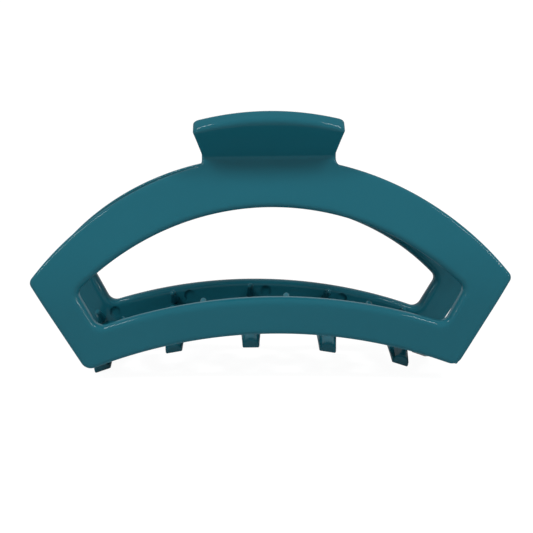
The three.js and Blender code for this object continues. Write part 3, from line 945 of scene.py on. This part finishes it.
@dataclass(frozen=True)
class ToothRow:
    """Five crowned teeth that curve in below the other jaw, with the pegs and ejector marks."""

    profile: SideProfile
    roll: float
    bar_radius: float = BAR_RADIUS
    bar_centre_z: float = BAR_CENTRE_Z
    bar_height: float = BAR_HEIGHT
    count: int = 5
    pitch: float = 19.2
    offset: float = 3.65
    end_inset: float = 0.9
    widths: tuple[float, float] = (6.8, 4.0)
    thicknesses: tuple[float, float] = (4.0, 2.5)
    reach: float = 12.5
    root_rise: float = 2.2
    root_sink: float = 2.4
    arch: float = 1.2
    crown: float = 3.2
    edge: float = 0.5
    tip_crown: float = 6.05
    tip_radius: float = 168.0
    tip_loss: float = 0.25
    short_end_lift: float = 1.8
    tip_round: float = 0.6
    tip_roundness: float = 0.9
    steps: int = 18
    tip_steps: int = 6
    edge_steps: int = 5
    peg_below: float = 3.3
    peg_lean: float = math.radians(20.0)
    peg_length: float = 7.8
    peg_radii: tuple[float, float] = (1.3, 0.75)
    peg_sink: float = 1.2
    peg_sides: int = 24
    peg_steps: int = 3
    dome_steps: int = 8
    mark_offset: float = 3.9
    mark_below: float = 2.8
    mark_radius: float = 1.4
    mark_depth: float = 0.35
    mark_sides: int = 40

    @property
    def angles(self) -> list[float]:
        """Angles of the pegs about the centre of the lower bar.

        Returns:
            One for each peg, from left to right.
        """
        half = self.count // 2
        places = (n * self.pitch + self.offset for n in range(-half, half + 1))
        return [place / self.bar_radius for place in places]

    @property
    def tooth_angles(self) -> list[float]:
        """Angles of the teeth about the centre of the lower bar.

        Returns:
            The pegs' angles, but for the end ones, which are a little further in.
        """
        first, *middle, last = self.angles
        inset = self.end_inset / self.bar_radius
        return [first + inset, *middle, last - inset]

    def tip_underside(self, angle: float) -> float:
        """Height of the underside of a tooth's tip.

        Args:
            angle: The tooth's angle about the bar's centre.

        Returns:
            The height, such that the end teeth meet the floor once the jaw has rolled.
        """
        x = self.bar_radius * math.sin(angle)
        if angle in (self.tooth_angles[0], self.tooth_angles[-1]):
            drop = self.widths[1] / 2.0 * math.sin(abs(angle)) - self.tip_loss
            lift = self.short_end_lift if angle < 0.0 else 0.0
            return drop + lift - x * math.tan(self.roll)
        return self.tip_crown - x**2 / (2.0 * self.tip_radius)

    def build_tooth(self, angle: float) -> BMesh:
        """A tapered tooth with a crowned back and a flat underside.

        Args:
            angle: Its angle about the bar's centre.

        Returns:
            Its mesh.
        """
        half_tip = self.thicknesses[1] / 2.0 * math.cos(angle)
        tip_z = self.tip_underside(angle) + half_tip
        depth = self.profile.half_depth - self.profile.plate + self.root_sink
        root = side_point(depth, self.bar_radius + self.root_rise)
        tip = side_point(-self.reach, (tip_z - self.bar_centre_z) / math.cos(angle))
        bend = (root + tip) / 2.0 + UP * self.arch
        radial = Matrix.Rotation(angle, 3, "Y")
        centre = UP * self.bar_centre_z
        round_share = self.tip_round / (depth + self.reach)
        shares = [i / self.steps for i in range(self.steps)]
        for i in range(self.tip_steps):
            turn = i / (self.tip_steps - 1) * QUARTER
            shares.append(1.0 - round_share * (1.0 - math.sin(turn)))
        places = []
        for share in shares:
            spot = root.lerp(bend, share).lerp(bend.lerp(tip, share), share)
            ahead = (bend - root).lerp(tip - bend, share).normalized()
            past = max(share - 1.0 + round_share, 0.0) / round_share
            loss = self.tip_round * (1.0 - math.sqrt(1.0 - self.tip_roundness * past**2))
            width = (lerp(*self.widths, share) - 2.0 * loss) / self.widths[0]
            thick = (lerp(*self.thicknesses, share) - 2.0 * loss) / self.thicknesses[0]
            rising = ahead.cross(ACROSS)
            rising *= -1.0 if rising.z < 0.0 else 1.0
            across, upward = radial @ ACROSS, radial @ rising
            places.append(place_of(across, upward, centre + radial @ spot, width, thick))
        mesh = bmesh.new()
        size = (self.widths[0], self.thicknesses[0])
        section(mesh, *size, self.crown, self.edge, self.edge_steps)
        swept(mesh, places)
        return mesh

    def bar_back(self, angle: float, below: float) -> Vector:
        """A point on the inner face of the lower bar.

        Args:
            angle: Its angle about the bar's centre.
            below: How far it lies below the bar's upper edge.

        Returns:
            The point.
        """
        spot = Matrix.Rotation(angle, 3, "Y") @ (UP * (self.bar_radius + self.bar_height - below))
        z = self.bar_centre_z + spot.z
        return ACROSS * spot.x + side_point(self.profile.depth(z) - self.profile.plate, z)

    def build_peg(self, angle: float) -> BMesh:
        """A tapered peg with a domed tip that leans up from the lower bar.

        Args:
            angle: Its angle about the bar's centre.

        Returns:
            Its mesh.
        """
        base, tip = self.peg_radii
        dome = self.peg_length - tip
        mesh = bmesh.new()
        pen = Pen(mesh, UP * -self.peg_sink, BACK)
        pen.run(UP * -self.peg_sink + ACROSS * base)
        pen.run(UP * dome + ACROSS * tip, self.peg_steps)
        pen.turn(UP * dome, -QUARTER, self.dome_steps)
        turned(mesh, self.peg_sides)
        lean = Matrix.Rotation(self.peg_lean - QUARTER, 4, "X")
        place = Matrix.Translation(self.bar_back(angle, self.peg_below)) @ lean
        bmesh.ops.transform(mesh, matrix=place, verts=mesh.verts)
        return mesh

    def build_mark(self, angle: float) -> BMesh:
        """A disc that the shallow mark of an ejector pin is cut with, beside a peg.

        Args:
            angle: The peg's angle about the bar's centre.

        Returns:
            Its mesh.
        """
        spot = self.bar_back(angle - self.mark_offset / self.bar_radius, self.mark_below)
        place = Matrix.Translation(spot) @ Matrix.Rotation(QUARTER, 4, "X")
        return rod(self.mark_radius, 2.0 * self.mark_depth, self.mark_sides, place)


# Pieces of the clip


class Piece(ABC):
    """A finished piece, whose edges stay sharp where they turn by more than sharp_degrees."""

    sharp_degrees: float

    @abstractmethod
    def build(self) -> bpy.types.Object:
        """Makes the piece's object."""

    @abstractmethod
    def mount(self, piece: bpy.types.Object) -> None:
        """Puts the object on its body, or bakes its place into its mesh."""

    def dress(self, piece: bpy.types.Object, finish: bpy.types.Material) -> None:
        """Gives the object its shading and finish, and mounts it.

        Args:
            piece: What the build method made.
            finish: Its only material.
        """
        piece.data.shade_smooth()
        piece.data.set_sharp_from_angle(angle=math.radians(self.sharp_degrees))
        piece.data.materials.clear()
        piece.data.materials.append(finish)
        self.mount(piece)


@dataclass
class Jaw(Piece):
    """One moulded jaw: open frame, thumb tab, hinge ears, teeth, pegs and ejector marks."""

    name: str
    body: Body
    turn: float
    roll: float = math.radians(0.95)
    hinge_z: float = HINGE_Z
    sharp_degrees: float = 32.0
    profile: SideProfile = field(default_factory=SideProfile)

    def build(self) -> bpy.types.Object:
        """Joins the jaw's solids into one moulding, rolls it on its hinge and turns it round.

        Returns:
            The moulding.
        """
        ears = HingeEars(self.profile, self.hinge_z)
        row = ToothRow(self.profile, self.roll)
        piece = object_of(self.name, OpenFrame(self.profile).build())
        teeth = [row.build_tooth(angle) for angle in row.tooth_angles]
        pegs = [row.build_peg(angle) for angle in row.angles]
        marks = [row.build_mark(angle) for angle in row.angles]
        for name, sources, cut in (
            ("tab_and_teeth", [ThumbTab(self.profile).build(), *teeth], Cut.JOIN),
            ("ears_and_pegs", [ears.build(), *pegs], Cut.JOIN),
            ("hollows", [*marks, ears.build_hole()], Cut.REMOVE),
        ):
            combined(piece, object_of(name, gathered(sources)), cut)
        hinge = Matrix.Translation(UP * self.hinge_z * MM)
        rolled = Matrix.Rotation(self.turn, 4, "Z") @ Matrix.Rotation(-self.roll, 4, "Y")
        piece.data.transform(hinge @ rolled @ hinge.inverted())
        return piece

    def mount(self, piece: bpy.types.Object) -> None:
        """Puts the moulding on the jaw's body."""
        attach(piece, self.body.value)


@dataclass
class HingePin(Piece):
    """The steel pin with a thin domed head at each end."""

    hinge_z: float = HINGE_Z
    radius: float = PIN_RADIUS
    head_radius: float = 2.4
    head_flat_radius: float = 2.0
    head: float = 0.8
    lip: float = 0.2
    dome: float = 0.05
    shank: float = 13.51
    sides: int = 48
    sharp_degrees: float = 40.0

    def build(self) -> bpy.types.Object:
        """Turns the pin from its profile: one half is drawn and mirrored.

        Returns:
            The pin.
        """
        mesh = bmesh.new()
        end = self.shank + self.head
        pen = Pen(mesh, ACROSS * self.radius, BACK)
        for radius, height in (
            (self.radius, self.shank),
            (self.head_radius, self.shank),
            (self.head_radius, self.shank + self.lip),
            (self.head_flat_radius, end - self.lip),
            (self.radius, end - self.dome),
            (0.0, end),
        ):
            pen.run(ACROSS * radius + UP * height)
        half = mesh.verts[:] + mesh.edges[:]
        bmesh.ops.mirror(mesh, geom=half, matrix=Matrix.Identity(4), merge_dist=MERGE, axis="Z")
        turned(mesh, self.sides)
        place = Matrix.Translation(UP * self.hinge_z) @ Matrix.Rotation(QUARTER, 4, "Y")
        bmesh.ops.transform(mesh, matrix=place, verts=mesh.verts)
        return object_of("steel_pin", mesh)

    def mount(self, piece: bpy.types.Object) -> None:
        """Puts the pin on the front jaw's body."""
        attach(piece, Body.FRONT.value)


@dataclass
class TorsionSpring(Piece):
    """Torsion spring of round wire on the pin, with a leg along the inside of each tab."""

    tab: ThumbTab
    hinge_z: float = HINGE_Z
    pin_radius: float = PIN_RADIUS
    coil_clearance: float = 0.5
    wire: float = 0.9
    coil_gap: float = 0.5
    turns: int = 6
    short_of_rim: float = 2.0
    coil_steps: int = 32
    leg_steps: int = 12
    sides: int = 14
    sharp_degrees: float = 50.0

    def __post_init__(self) -> None:
        """Works out the line of a leg on the front tab and the size of the coil."""
        stations = self.tab.stations()
        inner = [spot + through * wall for spot, through, wall, _ in stations]
        fold_end, rim = inner[self.tab.root_steps + self.tab.fold_steps], inner[-1]
        self.along = (rim - fold_end).normalized()
        self.leg = (rim - UP * self.hinge_z).dot(self.along) - self.short_of_rim
        self.angle = math.atan2(-self.along.y, self.along.z)
        self.turning = 2.0 * math.pi * self.turns - (math.pi - 2.0 * self.angle)
        self.length = self.turning / (2.0 * math.pi) * (self.wire + self.coil_gap)
        self.radius = self.pin_radius + self.coil_clearance + self.wire / 2.0

    def path(self) -> list[Vector]:
        """Lays out the centre line of the wire.

        Returns:
            Points along the leg on the front tab, the coil and the leg on the rear tab.
        """
        hinge = UP * self.hinge_z
        steps = round(self.turning / (2.0 * math.pi) * self.coil_steps)
        coil = []
        for i in range(steps + 1):
            turn = Matrix.Rotation(self.angle - self.turning * i / steps, 3, "X")
            spot = turn @ (BACK * self.radius) + ACROSS * (self.length * (i / steps - 0.5))
            coil.append(hinge + spot)
        first = coil[0] + self.along * self.leg
        last = coil[-1] + Vector((0.0, -self.along.y, self.along.z)) * self.leg
        shares = [i / self.leg_steps for i in range(self.leg_steps)]
        start = [first.lerp(coil[0], share) for share in shares]
        finish = [last.lerp(coil[-1], share) for share in reversed(shares)]
        return start + coil + finish

    def build(self) -> bpy.types.Object:
        """Sweeps a round section along the centre line.

        Returns:
            The wire.
        """
        path = self.path()
        places = []
        for i, spot in enumerate(path):
            before, after = path[max(i - 1, 0)], path[min(i + 1, len(path) - 1)]
            ahead = (after - before).normalized()
            radial = ACROSS.cross(ahead).normalized()
            places.append(place_of(radial, ahead.cross(radial), spot, 1.0, 1.0))
        mesh = bmesh.new()
        bmesh.ops.create_circle(mesh, cap_ends=True, segments=self.sides, radius=self.wire / 2.0)
        swept(mesh, places)
        return object_of("spring_wire", mesh)

    def mount(self, piece: bpy.types.Object) -> None:
        """Bakes the wire's place into its mesh.

        Args:
            piece: The wire.
        """
        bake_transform(piece)


# Studio


@dataclass(frozen=True)
class Lamp:
    """A rectangular area lamp aimed at the clip. Its place and size are in metres."""

    name: str
    place: tuple[float, float, float]
    size: tuple[float, float]
    watts: float

    def build(self, aim: Vector) -> None:
        """Links the lamp and turns it.

        Args:
            aim: The point that it looks at.
        """
        data = bpy.data.lights.new(self.name, "AREA")
        data.shape, data.energy = "RECTANGLE", self.watts
        data.size, data.size_y = self.size
        lamp = bpy.data.objects.new(self.name, data)
        lamp.location = self.place
        lamp.rotation_euler = (aim - lamp.location).to_track_quat("-Z", "Y").to_euler()
        bpy.context.scene.collection.objects.link(lamp)


@dataclass
class Studio:
    """White paper sweep, world light, lamps and the camera. Its sizes are in metres."""

    # The camera's place, angles and focal length come from a fit to the photograph's outlines
    camera_place: tuple[float, float, float] = (-0.00494, -0.2871, 0.05372)
    yaw: float = 0.0159
    pitch: float = 0.1009
    roll: float = 0.0058
    focal_px: float = 1159.2
    picture_px: int = 533
    sensor_mm: float = 36.0
    aim: Vector = field(default_factory=lambda: Vector((0.0, 0.0, 0.03)))
    world_level: float = 0.1
    world_seen: float = 1.0
    paper_half_width: float = 1.6
    paper_front: float = -1.4
    paper_bend_y: float = 0.7
    paper_bend_radius: float = 0.35
    paper_bend_steps: int = 16
    paper_top: float = 1.5
    lamps: tuple[Lamp, ...] = (
        Lamp("key_left", (-0.668, -0.386, 0.949), (0.1, 0.5), 7.4),
        Lamp("key_right", (0.668, -0.386, 0.949), (0.1, 0.5), 7.4),
        Lamp("strip_left", (-0.876, -0.613, 0.575), (0.02, 0.4), 2.2),
        Lamp("strip_right", (0.876, -0.613, 0.575), (0.02, 0.4), 2.2),
    )

    def build(self) -> None:
        """Sets up everything round the clip."""
        self.build_sweep()
        self.build_world()
        for lamp in self.lamps:
            lamp.build(self.aim)
        self.build_camera()
        bpy.context.scene.view_settings.view_transform = "Standard"

    def build_sweep(self) -> None:
        """Draws the side of the paper, which rises in a curve behind the clip, and widens it."""
        mesh = bmesh.new()
        corner = Vector((-self.paper_half_width, self.paper_bend_y, 0.0)) / MM
        radius = self.paper_bend_radius / MM
        pen = Pen(mesh, Vector((corner.x, self.paper_front / MM, 0.0)), ACROSS)
        pen.run(corner)
        pen.turn(corner + UP * radius, QUARTER, self.paper_bend_steps)
        pen.run(Vector((corner.x, pen.end.co.y, self.paper_top / MM)))
        grown = bmesh.ops.extrude_edge_only(mesh, edges=mesh.edges[:])
        moved = [item for item in grown["geom"] if isinstance(item, BMVert)]
        bmesh.ops.translate(mesh, verts=moved, vec=ACROSS * (-2.0 * corner.x))
        bmesh.ops.recalc_face_normals(mesh, faces=mesh.faces)
        sweep = object_of("paper_sweep", mesh)
        sweep.data.shade_smooth()
        sweep.data.materials.append(UncoatedPaper().build())

    def build_world(self) -> None:
        """Sets even grey light from all round, which is itself seen as white."""
        world = bpy.data.worlds.new("studio")
        bpy.context.scene.world = world
        nodes = Nodes(world)
        strength = nodes.add(
            "MapRange",
            {"Value": nodes.seen(), "To Min": self.world_level, "To Max": self.world_seen},
        )
        background = nodes.add(
            "Background", {"Color": linear("ffffff"), "Strength": strength.outputs["Result"]}
        )
        nodes.finish(background.outputs["Background"])

    def build_camera(self) -> None:
        """Places the camera and makes it the scene's own."""
        data = bpy.data.cameras.new("camera")
        data.sensor_width = self.sensor_mm
        data.lens = self.sensor_mm * self.focal_px / self.picture_px
        camera = bpy.data.objects.new("camera", data)
        ahead = Vector((math.sin(self.yaw), math.cos(self.yaw), 0.0)) * math.cos(self.pitch)
        ahead.z = -math.sin(self.pitch)
        camera.location = self.camera_place
        camera.rotation_mode = "QUATERNION"
        level = ahead.to_track_quat("-Z", "Y")
        camera.rotation_quaternion = level @ Quaternion(UP, self.roll)
        bpy.context.scene.collection.objects.link(camera)
        bpy.context.scene.camera = camera


def main() -> None:
    """Builds the clip and its studio."""
    logging.basicConfig(level=logging.INFO)
    Studio().build()
    plastic, steel = MouldedAcetal().build(), DrawnSteel().build()
    work = (
        (Jaw("front_moulding", Body.FRONT, turn=0.0), "front_jaw", plastic),
        (Jaw("rear_moulding", Body.REAR, turn=math.pi), "rear_jaw", plastic),
        (HingePin(), "hinge_pin", steel),
        (TorsionSpring(ThumbTab(SideProfile())), "torsion_spring", steel),
    )
    for maker, node, finish in work:
        piece = maker.build()
        maker.dress(piece, finish)
        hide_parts(node)
        LOG.info("%s: %d faces", piece.name, len(piece.data.polygons))


if __name__ == "__main__":
    main()
